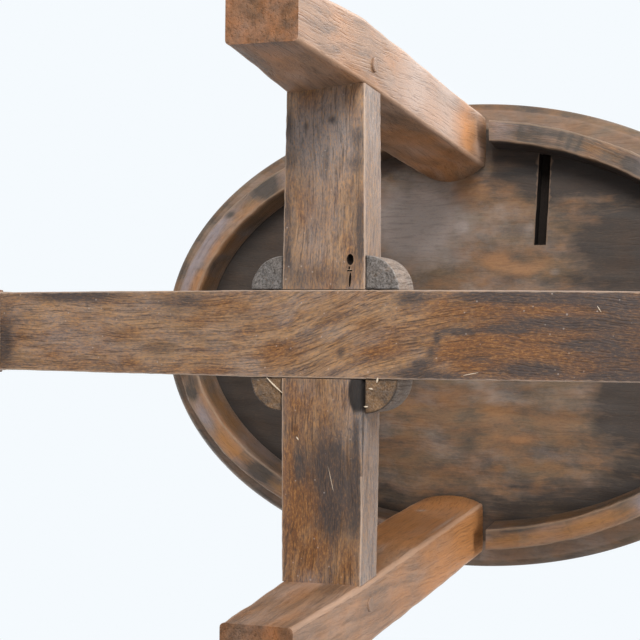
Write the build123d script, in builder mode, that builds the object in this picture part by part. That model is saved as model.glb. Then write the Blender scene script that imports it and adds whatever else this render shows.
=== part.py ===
from build123d import *
import math
import os

# Camel saddle stool. An oval board with a saddle-shaped top stands on four
# splayed legs. A cross of two half-lapped stretchers ties the legs together
# low down, with four quarter-round blocks in the corners of the crossing.
# The origin is on the floor, under the middle of the oval seat. X runs along
# the seat, Z is up. Millimetres.

# Seat board
seat_length = 452.0
seat_width = 313.0
board_underside = 337.0      # height of the flat underside over the floor
board_thickness = 26.0       # at the bottom of the dip
saddle_rise = 18.0           # how far the ends stand over the dip
saddle_crown = 7.0           # how far the long edges fall below the middle
board_under_round = 6.0
board_top_round = 5.0

# Apron, four curved pieces under the board, with squared ends by the legs
apron_height = 25.0
apron_end_inset = 20.0       # from the board's edge, at the ends
apron_side_inset = 14.0      # from the board's edge, at the long sides
apron_foot_width = 14.0      # the flat lower face
apron_lean = 3.0             # how far the inner wall comes in at the board
apron_leg_space = 8.5        # between a leg and the squared end beside it
apron_arris = 1.2
tongue_width = 7.0
tongue_setback = 4.0         # from the apron's outer wall
tongue_height = 6.0

# Legs
cross_offset = -9.0          # the crossing sits a little off the seat's middle
end_leg_setback = 38.5       # from the seat's end to the leg's inner face, at the board
side_leg_setback = 43.5      # the same, from the seat's long side
leg_splay = 4.5              # degrees
leg_width = 46.0
leg_thickness = 34.0
leg_foot_width = 38.0
leg_foot_thickness = 28.0
leg_arris = 2.0
knee_height = 34.0           # the inner face curves in below the board
knee_depth = 5.0
seat_tenon_width = 28.0
seat_tenon_thickness = 19.0
wedge_top = 4.5
wedge_tip = 1.5
wedge_depth = 17.0

# Stretchers
stretcher_underside = 88.0
stretcher_thickness = 27.0
stretcher_width = 47.0
stretcher_end_width = 44.5
stretcher_arris = 1.0
stretcher_tenon_width = 28.0
stretcher_tenon_thickness = 14.0
stretcher_tenon_length = 25.0
peg_diameter = 8.0
peg_proud = 1.0

# Quarter-round blocks, each centred on a corner of the crossing
boss_radius = 18.0
boss_arris = 1.0

# Groove across the grain in the underside
groove_offset = 53.0
groove_width = 8.0
groove_depth = 12.0
groove_inner_end = 59.0
groove_end_setback = 26.5    # from the apron's outer wall

# Fits
joint_gap = 0.15
overrun = 5.0                # how far a cutter passes the wood

# Derived places
half_length = seat_length / 2
half_width = seat_width / 2
board_middle = board_underside + board_thickness
board_top = board_middle + saddle_rise
apron_underside = board_underside - apron_height
apron_half_length = half_length - apron_end_inset
apron_half_width = half_width - apron_side_inset
groove_outer_end = apron_half_width - groove_end_setback
long_leg_reach = half_length - end_leg_setback
short_leg_reach = half_width - side_leg_setback
boss_corner = stretcher_width / 2 + joint_gap
boss_reach = boss_corner + boss_radius
stretcher_top = stretcher_underside + stretcher_thickness
lap_height = stretcher_underside + stretcher_thickness / 2
splay_slope = math.tan(math.radians(leg_splay))
tenon_setback = (leg_thickness - seat_tenon_thickness) / 2
cross_centre = (cross_offset, 0, 0)

# Each leg: the direction from the crossing, and its reach from there at the board
legs = {
    "right": ((1, 0), long_leg_reach - cross_offset),
    "back": ((0, 1), short_leg_reach),
    "left": ((-1, 0), long_leg_reach + cross_offset),
    "front": ((0, -1), short_leg_reach),
}
# Each corner between two legs
corners = {
    "front_left": (-1, -1),
    "front_right": (1, -1),
    "back_left": (-1, 1),
    "back_right": (1, 1),
}


def radial_plane(direction):
    """Upright plane through the cross, its x outwards along one leg and its y up."""
    dx, dy = direction
    return Plane(origin=cross_centre, x_dir=(dx, dy, 0), z_dir=(dy, -dx, 0))


def facing_plane(direction):
    """Upright plane through the cross, square to one leg's direction."""
    dx, dy = direction
    return Plane(origin=cross_centre, x_dir=(-dy, dx, 0), z_dir=(dx, dy, 0))


def inner_face(reach, height):
    """Distance from the cross to a leg's inner face, at a height over the floor."""
    return reach + (board_underside - height) * splay_slope


def seat_height(x, y):
    """Height of the saddle over the floor: it dips along X and is crowned along Y."""
    return board_middle + saddle_rise * (x / half_length) ** 2 - saddle_crown * (y / half_width) ** 2


def saddle_space():
    """Everything over the seat: a waisted roller, lying across the seat."""
    roller_radius = (half_length**2 + saddle_rise**2) / (2 * saddle_rise)
    roller_half = half_width + overrun
    axis_height = board_middle + roller_radius
    with BuildPart() as space:
        with BuildSketch(Plane.YZ):
            with BuildLine():
                crown = ThreePointArc(
                    (-roller_half, board_middle - saddle_crown),
                    (0, board_middle),
                    (roller_half, board_middle - saddle_crown),
                )
                Polyline(crown @ 1, (roller_half, axis_height), (-roller_half, axis_height), crown @ 0)
            make_face()
        revolve(axis=Axis((0, 0, axis_height), (0, 1, 0)), revolution_arc=360)
    return space.part


def tenon_prism(direction, reach, gap, top):
    """A leg's upper tenon, or its mortise where gap is over zero: it leans with the leg."""
    bottom = board_underside - gap
    inner = reach + tenon_setback - gap
    outer = inner + seat_tenon_thickness + 2 * gap
    rise = (top - bottom) * splay_slope
    with BuildPart() as prism:
        with BuildSketch(radial_plane(direction)):
            with BuildLine():
                Polyline(
                    (inner, bottom), (outer, bottom), (outer - rise, top), (inner - rise, top),
                    close=True,
                )
            make_face()
        extrude(amount=seat_tenon_width / 2 + gap, both=True)
    return prism.part


def wedge_prism(direction, reach):
    """The wedge's space in a leg's upper tenon, thin across the board's grain."""
    across_grain = direction[0] == 0
    plane = facing_plane(direction) if across_grain else radial_plane(direction)
    centre = reach + leg_thickness / 2 - board_thickness * splay_slope
    head = seat_height(cross_offset + direction[0] * centre, direction[1] * centre)
    tip = head - wedge_depth
    top = board_top + overrun
    flare = (wedge_top - wedge_tip) / 2 * (top - tip) / wedge_depth
    middle = 0 if across_grain else centre
    with BuildPart() as prism:
        with BuildSketch(plane):
            with BuildLine():
                Polyline(
                    (middle - wedge_tip / 2, tip),
                    (middle + wedge_tip / 2, tip),
                    (middle + wedge_tip / 2 + flare, top),
                    (middle - wedge_tip / 2 - flare, top),
                    close=True,
                )
            make_face()
        if across_grain:
            extrude(amount=reach + leg_thickness + overrun)
        else:
            extrude(amount=seat_tenon_width, both=True)
    return prism.part


def stretcher_tenon(direction, reach, gap=0):
    """A stretcher's end tenon from the blocks outwards, or its mortise where gap is over zero."""
    end = inner_face(reach, lap_height) + stretcher_tenon_length + gap
    with BuildPart() as tenon:
        with BuildSketch(radial_plane(direction)):
            with Locations(((boss_reach + end) / 2, lap_height)):
                Rectangle(end - boss_reach, stretcher_tenon_thickness + 2 * gap)
        extrude(amount=stretcher_tenon_width / 2 + gap, both=True)
    return tenon.part


def peg_rod(direction, reach, length, gap):
    """A peg across a leg, through the stretcher's tenon, or its hole."""
    centre = inner_face(reach, lap_height) + stretcher_tenon_length / 2
    with BuildPart() as rod:
        with BuildSketch(radial_plane(direction)):
            with Locations((centre, lap_height)):
                Circle(peg_diameter / 2 + gap)
        extrude(amount=length / 2, both=True)
    return rod.part


def make_leg(name, direction, reach):
    """A leg: straight and splayed, with a knee under the board and a tapered foot."""
    foot_inner = inner_face(reach, 0)
    knee_start = board_underside - knee_height
    outer_turn = stretcher_underside
    with BuildPart() as leg:
        with BuildSketch(radial_plane(direction)):
            with BuildLine():
                inner = Line((foot_inner, 0), (inner_face(reach, knee_start), knee_start))
                knee = TangentArc(
                    (inner_face(reach, knee_start), knee_start),
                    (reach - knee_depth, board_underside),
                    tangent=(-splay_slope, 1),
                )
                Polyline(
                    knee @ 1,
                    (reach + leg_thickness, board_underside),
                    (inner_face(reach, outer_turn) + leg_thickness, outer_turn),
                    (foot_inner + leg_foot_thickness, 0),
                    inner @ 0,
                )
            make_face()
        extrude(amount=leg_width / 2, both=True)
        with BuildSketch(facing_plane(direction)):
            with BuildLine():
                Polyline(
                    (-leg_foot_width / 2, 0),
                    (leg_foot_width / 2, 0),
                    (leg_width / 2, outer_turn),
                    (leg_width / 2, board_underside),
                    (-leg_width / 2, board_underside),
                    (-leg_width / 2, outer_turn),
                    close=True,
                )
            make_face()
        extrude(amount=foot_inner + leg_thickness + overrun, mode=Mode.INTERSECT)
        upright = leg.edges().filter_by(lambda edge: abs((edge % 0.5).Z) > math.cos(math.radians(40)))
        fillet(upright, leg_arris)
        add(tenon_prism(direction, reach, 0, board_top + overrun))
        add(wedge_prism(direction, reach), mode=Mode.SUBTRACT)
        add(saddle_space(), mode=Mode.SUBTRACT)
        add(stretcher_tenon(direction, reach, joint_gap), mode=Mode.SUBTRACT)
        add(peg_rod(direction, reach, leg_width + overrun, joint_gap), mode=Mode.SUBTRACT)
    leg.part.label = name
    return leg.part


def make_wedge(name, direction, reach):
    """A thin wedge that spreads a leg's tenon in the board, flush with the seat."""
    with BuildPart() as wedge:
        add(tenon_prism(direction, reach, 0, board_top + overrun))
        add(wedge_prism(direction, reach), mode=Mode.INTERSECT)
        add(saddle_space(), mode=Mode.SUBTRACT)
    wedge.part.label = name
    return wedge.part


def make_stretcher(name, far_leg, near_leg, lap_above):
    """A stretcher between two legs, with a tenon at each end, lapped at the middle."""
    direction, far_reach = legs[far_leg]
    near_reach = legs[near_leg][1]
    far_low = inner_face(far_reach, stretcher_underside)
    near_low = inner_face(near_reach, stretcher_underside)
    lap_middle = lap_height + (stretcher_thickness / 2 if lap_above else -stretcher_thickness / 2)
    with BuildPart() as stretcher:
        with BuildSketch(radial_plane(direction)):
            with BuildLine():
                Polyline(
                    (-near_low, stretcher_underside),
                    (far_low, stretcher_underside),
                    (inner_face(far_reach, stretcher_top), stretcher_top),
                    (-inner_face(near_reach, stretcher_top), stretcher_top),
                    close=True,
                )
            make_face()
        extrude(amount=stretcher_width / 2, both=True)
        plan = Plane(origin=cross_centre, x_dir=(*direction, 0), z_dir=(0, 0, 1))
        with BuildSketch(plan):
            with BuildLine():
                Polyline(
                    (-near_low, -stretcher_end_width / 2),
                    (-boss_reach, -stretcher_width / 2),
                    (boss_reach, -stretcher_width / 2),
                    (far_low, -stretcher_end_width / 2),
                    (far_low, stretcher_end_width / 2),
                    (boss_reach, stretcher_width / 2),
                    (-boss_reach, stretcher_width / 2),
                    (-near_low, stretcher_end_width / 2),
                    close=True,
                )
            make_face()
        extrude(amount=board_underside, mode=Mode.INTERSECT)
        lengthwise = stretcher.edges().filter_by(
            lambda edge: abs((edge % 0.5).dot(Vector(*direction, 0))) > math.cos(math.radians(10))
        )
        chamfer(lengthwise, stretcher_arris)
        for end in (far_leg, near_leg):
            add(stretcher_tenon(*legs[end]))
        with BuildSketch(radial_plane(direction)):
            with Locations((0, lap_middle)):
                Rectangle(stretcher_width + 2 * joint_gap, stretcher_thickness)
        extrude(amount=stretcher_width, both=True, mode=Mode.SUBTRACT)
        for end in (far_leg, near_leg):
            add(peg_rod(*legs[end], leg_width + overrun, joint_gap), mode=Mode.SUBTRACT)
    stretcher.part.label = name
    return stretcher.part


def make_peg(name, direction, reach):
    """The peg that holds a stretcher's tenon in a leg."""
    with BuildPart() as peg:
        add(peg_rod(direction, reach, leg_width + 2 * peg_proud, 0))
        chamfer(peg.edges().filter_by(GeomType.CIRCLE), peg_proud / 2)
    peg.part.label = name
    return peg.part


def make_boss_block(name, side_x, side_y):
    """A quarter-round block in a corner of the crossing, its grain upright."""
    middle = boss_corner + boss_radius / 2
    with BuildPart() as block:
        with BuildSketch(Plane.XY.offset(stretcher_underside)):
            with Locations((cross_offset + side_x * boss_corner, side_y * boss_corner)):
                Circle(boss_radius)
            with Locations((cross_offset + side_x * middle, side_y * middle)):
                Rectangle(boss_radius, boss_radius, mode=Mode.INTERSECT)
        extrude(amount=stretcher_thickness)
        chamfer(block.edges().filter_by(GeomType.CIRCLE), boss_arris)
    block.part.label = name
    return block.part


def corner_space(side_x, side_y, gap):
    """The room between two legs, where one piece of the apron lies."""
    middle = leg_width / 2 + apron_leg_space - gap + half_length / 2
    with BuildPart() as space:
        with BuildSketch(Plane.XY.offset(apron_underside - overrun)):
            with Locations((cross_offset + side_x * middle, side_y * middle)):
                Rectangle(half_length, half_length)
        extrude(amount=apron_height + tongue_height + 2 * overrun)
    return space.part


def apron_tongue(side_x, side_y, gap):
    """The tongue on top of one piece of the apron, or its groove in the board."""
    outer_x = apron_half_length - tongue_setback + gap
    outer_y = apron_half_width - tongue_setback + gap
    with BuildPart() as tongue:
        with BuildSketch(Plane.XY.offset(board_underside)):
            Ellipse(outer_x, outer_y)
            Ellipse(outer_x - tongue_width - 2 * gap, outer_y - tongue_width - 2 * gap, mode=Mode.SUBTRACT)
        extrude(amount=tongue_height + gap)
        add(corner_space(side_x, side_y, gap), mode=Mode.INTERSECT)
    return tongue.part


def groove_space():
    """The groove under the seat, from near the middle to just inside the apron."""
    length = groove_outer_end - groove_inner_end
    with BuildPart() as groove:
        with BuildSketch(Plane.XY.offset(board_underside - overrun)):
            with Locations((groove_offset, -groove_inner_end - length / 2)):
                Rectangle(groove_width, length)
        extrude(amount=groove_depth + overrun)
    return groove.part


def make_apron(name, side_x, side_y):
    """One curved piece of the apron: flat foot, upright outside, leaning inside."""
    foot_x = apron_half_length - apron_foot_width
    foot_y = apron_half_width - apron_foot_width
    with BuildPart() as apron:
        with BuildSketch(Plane.XY.offset(apron_underside)):
            Ellipse(apron_half_length, apron_half_width)
        extrude(amount=apron_height)
        with BuildSketch(Plane.XY.offset(apron_underside)):
            Ellipse(foot_x, foot_y)
        with BuildSketch(Plane.XY.offset(board_underside)):
            Ellipse(foot_x - apron_lean, foot_y - apron_lean)
        loft(mode=Mode.SUBTRACT)
        add(corner_space(side_x, side_y, 0), mode=Mode.INTERSECT)
        foot_edges = apron.faces().sort_by(Axis.Z)[0].edges()
        chamfer(foot_edges, apron_arris)
        add(apron_tongue(side_x, side_y, 0))
    apron.part.label = name
    return apron.part


def make_seat_board():
    """The oval board: flat below, a saddle above, mortised for the legs."""
    with BuildPart() as board:
        with BuildSketch(Plane.XY.offset(board_underside)):
            Ellipse(half_length, half_width)
        extrude(amount=board_thickness + saddle_rise + overrun)
        fillet(board.faces().sort_by(Axis.Z)[0].edges(), board_under_round)
        add(saddle_space(), mode=Mode.SUBTRACT)
        rim = board.faces().sort_by(Axis.Z)[-1].edges()
        fillet(rim, board_top_round)
        for direction, reach in legs.values():
            add(tenon_prism(direction, reach, joint_gap, board_top + overrun), mode=Mode.SUBTRACT)
        for side_x, side_y in corners.values():
            add(apron_tongue(side_x, side_y, joint_gap), mode=Mode.SUBTRACT)
        add(groove_space(), mode=Mode.SUBTRACT)
    board.part.label = "seat_board"
    return board.part


def make_stool():
    """All the pieces, in their places."""
    pieces = [make_seat_board()]
    for name, (side_x, side_y) in corners.items():
        pieces.append(make_apron(f"apron_{name}", side_x, side_y))
        pieces.append(make_boss_block(f"boss_block_{name}", side_x, side_y))
    for name, (direction, reach) in legs.items():
        pieces.append(make_leg(f"leg_{name}", direction, reach))
        pieces.append(make_wedge(f"leg_wedge_{name}", direction, reach))
        pieces.append(make_peg(f"stretcher_peg_{name}", direction, reach))
    pieces.append(make_stretcher("stretcher_long", "right", "left", lap_above=True))
    pieces.append(make_stretcher("stretcher_short", "back", "front", lap_above=False))
    return pieces


os.makedirs("parts", exist_ok=True)
for piece in make_stool():
    export_step(piece, f"parts/{piece.label}.step")
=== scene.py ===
# Camel saddle stool in old, worn hardwood, seen from below: an oval seat with a hollow under it inside a
# hand-cut apron, on four splayed legs tied by a cross of half-lapped stretchers. Metres. X runs along the
# seat, Z is up, the floor is at Z = 0.
import math

import bpy
import numpy as np
from mathutils import Matrix, Vector


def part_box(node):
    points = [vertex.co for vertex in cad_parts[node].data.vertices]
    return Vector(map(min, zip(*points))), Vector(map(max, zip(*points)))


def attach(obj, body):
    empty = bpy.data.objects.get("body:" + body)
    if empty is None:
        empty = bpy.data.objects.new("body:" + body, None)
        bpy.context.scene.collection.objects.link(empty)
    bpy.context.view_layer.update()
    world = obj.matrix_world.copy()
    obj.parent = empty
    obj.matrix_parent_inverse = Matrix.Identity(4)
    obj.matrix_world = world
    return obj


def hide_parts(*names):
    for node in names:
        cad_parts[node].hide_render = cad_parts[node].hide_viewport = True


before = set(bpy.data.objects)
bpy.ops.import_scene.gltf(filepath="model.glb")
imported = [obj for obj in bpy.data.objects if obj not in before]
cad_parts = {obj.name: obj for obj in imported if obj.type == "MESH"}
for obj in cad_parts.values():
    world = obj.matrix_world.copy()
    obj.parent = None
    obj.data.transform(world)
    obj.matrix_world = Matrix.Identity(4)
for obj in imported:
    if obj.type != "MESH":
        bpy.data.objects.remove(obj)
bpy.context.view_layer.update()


def corners_of(node):
    """Lowest and highest corner of a CAD node as two arrays."""
    low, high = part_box(node)
    return np.array(low), np.array(high)


# Places taken from the frame
seat_low, seat_high = corners_of("seat_board")
long_low, long_high = corners_of("stretcher_long")
short_low, short_high = corners_of("stretcher_short")
block_low, block_high = corners_of("boss_block_back_right")
half_length = seat_high[0]
half_width = seat_high[1]
board_underside = seat_low[2]
cross_x = (short_low[0] + short_high[0]) / 2
bar_low = long_low[2]
bar_high = long_high[2]
bar_half_width = (long_high[1] - long_low[1]) / 2
lap_height = (bar_low + bar_high) / 2
joint_gap = block_low[1] - bar_half_width
block_radius = block_high[1] - block_low[1]

# Seat board
board_thickness = 0.026
saddle_rise = 0.018
saddle_crown = 0.007
board_under_round = 0.006
board_top_round = 0.005
board_middle = board_underside + board_thickness

# Apron
apron_height = 0.025
apron_end_inset = 0.020
apron_side_inset = 0.014
apron_foot_width = 0.014
apron_lean = 0.003
apron_leg_space = 0.0085
apron_left_reach = 0.004     # how much nearer the two left pieces come to the left leg
apron_arris = 0.0013
facet_length = 0.032         # of a hollow left by the chisel
facet_depth_below = 0.0006
facet_depth_beside = 0.0004

# Legs
end_leg_setback = 0.0385
side_leg_setback = 0.0435
splay_slope = math.tan(math.radians(4.5))
leg_half_width = 0.023
leg_thickness = 0.034
foot_half_width = 0.019
foot_thickness = 0.028
knee_height = 0.034
leg_arris = 0.0022
tenon_half_width = 0.014
tenon_thickness = 0.019
tenon_arris = 0.0006
tenon_stands_proud = 0.0002

# Stretchers
bar_end_half_width = 0.02225
bar_tenon_half_width = 0.014
bar_tenon_half_height = 0.007
bar_tenon_length = 0.025
bar_arris = 0.0006
bar_tenon_arris = 0.0004
bar_taper_start = 0.2        # as a share of the way to the leg
worn_arris_middle = 0.030    # along the short stretcher, where one arris is worn away
worn_arris_half = 0.030
worn_arris_radius = 0.0056
crack_start = 0.036          # of the crack that runs on from there
crack_end = 0.088
crack_fade = 0.008
grain_sweep = 0.017          # how far the long stretcher's grain climbs across it
grain_sweep_middle = 0.007
grain_sweep_run = 0.045

# Groove in the seat's underside
groove_offset = 0.053
groove_width = 0.008
groove_depth = 0.012
groove_inner_end = 0.0602
groove_outer_end = 0.1215
groove_skew = 0.0016         # half of how far it runs out of true

# Each leg: its direction from the crossing, its reach from there at the board, how deep its knee is in the
# middle, and how far its inner face is turned out of square
legs = {
    "right": ((1, 0), half_length - end_leg_setback - cross_x, 0.0050, 0.0),
    "back": ((0, 1), half_width - side_leg_setback, 0.0040, 0.0),
    "left": ((-1, 0), half_length - end_leg_setback + cross_x, 0.0050, 0.0),
    "front": ((0, -1), half_width - side_leg_setback, 0.0073, 0.0035),
}
corners = {
    "front_left": (-1, -1),
    "front_right": (1, -1),
    "back_left": (-1, 1),
    "back_right": (1, 1),
}


def linear(code):
    """An sRGB hex colour turned to linear light, with full opacity."""
    values = [int(code[i:i + 2], 16) / 255 for i in (1, 3, 5)]
    return (*[v / 12.92 if v <= 0.04045 else ((v + 0.055) / 1.055) ** 2.4 for v in values], 1)


def put(name, data):
    """Makes an object of a mesh, a lamp or a camera, and puts it in the scene."""
    thing = bpy.data.objects.new(name, data)
    bpy.context.scene.collection.objects.link(thing)
    return thing


def new_material(name):
    """A material, its tree of nodes and its shader."""
    material = bpy.data.materials.new(name)
    material.use_nodes = True
    return material, material.node_tree, material.node_tree.nodes["Principled BSDF"]


def add(tree, kind, inputs=None, **settings):
    """Adds a node with its settings, and sets or links its inputs. A node given as an input stands for its
    first output."""
    node = tree.nodes.new(kind)
    for key, value in settings.items():
        setattr(node, key, value)
    for key, value in (inputs or {}).items():
        if isinstance(value, bpy.types.Node):
            value = value.outputs[0]
        if isinstance(value, bpy.types.NodeSocket):
            tree.links.new(value, node.inputs[key])
        else:
            node.inputs[key].default_value = value
    return node


# Numbers of the Mix node's colour sockets
FACTOR, FIRST, SECOND, RESULT = 0, 6, 7, 2


def ripple(points, size, seed):
    """Smooth bumps about one size apart, mostly from -1 to 1: sine waves along seeded directions, summed."""
    rng = np.random.default_rng(seed)
    waves = 9
    heading = rng.normal(size=(3, waves))
    heading /= np.linalg.norm(heading, axis=0)
    phase = rng.uniform(0, 2 * np.pi, waves)
    return np.sin(points @ heading * (2 * np.pi / size) + phase).sum(-1) / math.sqrt(waves)


def ripples(points, seed, *waves):
    """Ripples of several sizes added up. Each wave is its height and its size, and takes the next seed."""
    return sum(height * ripple(points, size, seed + number) for number, (height, size) in enumerate(waves))


def smooth_step(x, low, high):
    """Runs from 0 at low to 1 at high with level ends."""
    t = np.clip((x - low) / (high - low), 0, 1)
    return t * t * (3 - 2 * t)


def stations(start, end, step):
    """Evenly spaced places from start to end, about one step apart."""
    return np.linspace(start, end, max(2, round(abs(end - start) / step) + 1))


def section(wide, high, step):
    """A rounded rectangle as two arrays over its points: a place on its core, from -1 to 1 each way, and the
    outward direction there. A point is core times (half size - radius) plus direction times radius."""
    arc_points = 4
    core, facing = [], []
    for side, (length, turn) in enumerate(((wide, 0), (high, 1), (wide, 2), (high, 3))):
        along = np.linspace(1, -1, max(2, round(length / step) + 1))
        ones = np.ones_like(along)
        place = [(along, ones), (-ones, along), (-along, -ones), (ones, -along)][side]
        core.append(np.stack(place, -1))
        angle = np.pi / 2 + turn * np.pi / 2
        facing.append(np.stack([np.cos(angle) * ones, np.sin(angle) * ones], -1))
        bend = angle + np.linspace(0, np.pi / 2, arc_points + 2)[1:-1]
        core.append(np.repeat(core[-1][-1:], len(bend), 0))
        facing.append(np.stack([np.cos(bend), np.sin(bend)], -1))
    return np.concatenate(core), np.concatenate(facing)


def edge_distance(core, half):
    """Distance from each point of a section to its nearest arris, along the face."""
    inside = (1 - np.abs(core)) * half
    return np.where(np.abs(core[:, 0]) < np.abs(core[:, 1]), inside[..., 0], inside[..., 1])


def closed_mesh(name, rings):
    """A smooth closed surface over rings[v, u, xyz]: each ring closes on itself, and the first and last ring
    close on their own middles."""
    count_v, count_u = rings.shape[:2]
    index = np.arange(count_v * count_u).reshape(count_v, count_u)
    after = np.roll(index, -1, axis=1)
    sides = np.stack([index[:-1], after[:-1], after[1:], index[1:]], -1).reshape(-1, 4)
    low_pole = np.full(count_u, count_v * count_u)
    caps = np.concatenate([
        np.stack([after[0], index[0], low_pole], -1),
        np.stack([index[-1], after[-1], low_pole + 1], -1),
    ])
    points = np.concatenate([rings.reshape(-1, 3), rings[:1].mean(1), rings[-1:].mean(1)])
    mesh = bpy.data.meshes.new(name)
    mesh.from_pydata(points.tolist(), [], sides.tolist() + caps.tolist())
    mesh.shade_smooth()
    return mesh


def skin(name, rings, node, material, layers):
    """A piece with its surface over rings[v, u, xyz], every edge over 40 degrees drawn sharp. layers are
    values over the same grid, kept as attributes of the points."""
    mesh = closed_mesh(name, rings)
    for layer, values in layers.items():
        wide = values.ndim == 3
        values = np.broadcast_to(values, rings.shape if wide else rings.shape[:2])
        flat = np.concatenate([values.ravel(), values[0].mean(0).ravel(), values[-1].mean(0).ravel()])
        made = mesh.attributes.new(layer, "FLOAT_VECTOR" if wide else "FLOAT", "POINT")
        made.data.foreach_set("vector" if wide else "value", flat.astype(np.float32))
    mesh.set_sharp_from_angle(angle=math.radians(40))
    mesh.materials.append(material)
    piece = put(name, mesh)
    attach(piece, "root")
    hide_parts(node)
    return piece


def old_wood(name, colours, bands=(0.120, 0.005), streak_width=0.001, streak_share=0.4, patch_size=0.02,
             warm_share=0.9, bloom_share=0.5, speckle=0.2, dust=0.0, roughness=0.5, bump=0.3,
             own_grain=True):
    """Old hardwood, oiled once and worn since: brown bands along the grain, warm patches where oil stayed, a
    grey bloom of dust and dry wood between them, a speckle of open grain, stains, fine dark fibres, specks
    of dust, pale arrises, dark joints, and near black where shade is painted into hollows. Some of the
    marks for stains, oil and dust that the pieces carry also paint shade and light. Each is a coat laid
    over the ones before.

    colours are hex values for the ground, the dark bands, the warm patches, the bloom, the arrises, the
    stains and the light fibre ends. bands are the length and width of the growth bands, in metres as every
    size is."""
    ground, dark, warm, bloom, arris, stained, fleck = (linear(code) for code in colours)
    fibre_brown = linear("#2A211B")
    pale_dust = linear("#B9ADA2")
    # near black for dark joints and cracks, and for the painted shade in hollows and under the apron
    shade_and_soot = linear("#14100E")
    material, tree, shader = new_material(name)
    if own_grain:
        where = add(tree, "ShaderNodeAttribute", attribute_name="grain").outputs["Vector"]
    else:
        where = add(tree, "ShaderNodeTexCoord").outputs["Object"]

    # The grain wanders sideways, up to 7 mm, as it runs
    drift = add(tree, "ShaderNodeTexNoise", {"Vector": where, "Scale": 14.0, "Detail": 2.0})
    lifted = add(tree, "ShaderNodeVectorMath", {0: drift.outputs["Color"], 1: (0.5, 0.5, 0.5)},
                 operation="SUBTRACT")
    shift = add(tree, "ShaderNodeVectorMath", {0: lifted, 1: (0, 0.014, 0.014)}, operation="MULTIPLY")
    flow = add(tree, "ShaderNodeVectorMath", {0: where, 1: shift}, operation="ADD")

    # Patterns: noise stretched to a length along the grain and a width across it. The grit is drawn about
    # 1 mm wide, several times as coarse as real pores, so that it shows
    pattern = {}
    for label, (length, width), detail, rough, offset in (
        ("bands", bands, 4.0, 0.6, (0, 0, 0)),
        ("patches", (2 * patch_size, patch_size), 4.0, 0.6, (0, 0, 0)),
        ("clouds", (0.030, 0.018), 6.0, 0.62, (3, 1, 2)),
        ("fibres", (0.022, streak_width), 2.5, 0.6, (0, 0, 0)),
        ("grit", (0.0026, 0.0009), 3.0, 0.75, (0, 0, 0)),
    ):
        scale = (1 / length, 1 / width, 1 / width)
        held = add(tree, "ShaderNodeMapping", {"Vector": flow, "Location": offset, "Scale": scale})
        pattern[label] = add(tree, "ShaderNodeTexNoise",
                             {"Vector": held, "Scale": 1.0, "Detail": detail, "Roughness": rough})
    # Specks of dust about 5 mm apart
    specks = add(tree, "ShaderNodeTexVoronoi", {"Vector": where, "Scale": 190.0})
    pattern["specks"] = specks.outputs["Distance"]
    # Marks that a piece carries on its points, and the distance to its nearest arris
    for label in ("oil_and_shading", "dust_and_light", "stain_and_shade", "shade_and_grime", "edge"):
        pattern[label] = add(tree, "ShaderNodeAttribute", attribute_name=label).outputs["Fac"]

    # The bloom lies in soft clouds where the oil has gone, and along the arrises
    dry = add(tree, "ShaderNodeMath", {0: pattern["oil_and_shading"], 1: -0.16, 2: pattern["clouds"]},
              operation="MULTIPLY_ADD")
    in_clouds = add(tree, "ShaderNodeMapRange",
                    {"Value": dry, "From Min": 0.44, "From Max": 0.66, "To Max": bloom_share})
    on_edges = add(tree, "ShaderNodeMapRange",
                   {"Value": pattern["edge"], "From Min": 0.006, "From Max": 0, "To Max": 0.4 * bloom_share})
    pattern["bloomed"] = add(tree, "ShaderNodeMath", {0: in_clouds, 1: on_edges}, operation="MAXIMUM")
    # Arrises are worn from 0.1 to 0.8 mm wide
    nicks = add(tree, "ShaderNodeTexNoise", {"Vector": where, "Scale": 180.0, "Detail": 3.0})
    worn = add(tree, "ShaderNodeMapRange",
               {"Value": nicks, "From Min": 0.40, "From Max": 0.65, "To Min": 0.0001, "To Max": 0.0008})

    # Coats in the order in which they are laid: patterns added up with their weights, the sum where the coat
    # begins, the sum where it is full, its strength there, and its colour
    coats = (
        ({"bands": 1}, 0.40, 0.66, 1, dark),
        ({"patches": 1, "oil_and_shading": 0.24, "fibres": 0.25}, 0.56, 0.92, warm_share, warm),
        ({"bloomed": 1}, 0, 1, 1, bloom),
        ({"dust_and_light": 1, "clouds": 1}, 0.60, 1.60, 0.80, bloom),
        ({"grit": 1}, 0.50, 0.28, 2.4 * speckle, stained),
        ({"grit": 1}, 0.50, 0.74, 2.4 * speckle, fleck),
        ({"stain_and_shade": 1, "patches": -1.2, "fibres": -0.9}, -0.85, -0.15, 0.88, stained),
        ({"grit": 1}, 0.50, 0.74, 0.9 * speckle, fleck),
        ({"fibres": 1}, 0.50, 0.68, streak_share, fibre_brown),
        ({"specks": 1, "clouds": -0.12}, 0.045, -0.015, dust, pale_dust),
        ({"edge": 1}, worn, 0, 0.5, arris),
        ({"shade_and_grime": 1}, 0, 1, 1, shade_and_soot),
    )
    colour = ground
    for parts, begin, full, strength, coat in coats:
        if not strength:
            continue
        total = 0
        for label, weight in parts.items():
            total = add(tree, "ShaderNodeMath", {0: pattern[label], 1: weight, 2: total},
                        operation="MULTIPLY_ADD")
        mask = add(tree, "ShaderNodeMapRange",
                   {"Value": total, "From Min": begin, "From Max": full, "To Max": strength})
        mixed = add(tree, "ShaderNodeMix", {FACTOR: mask, FIRST: colour, SECOND: coat}, data_type="RGBA")
        colour = mixed.outputs[RESULT]

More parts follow.
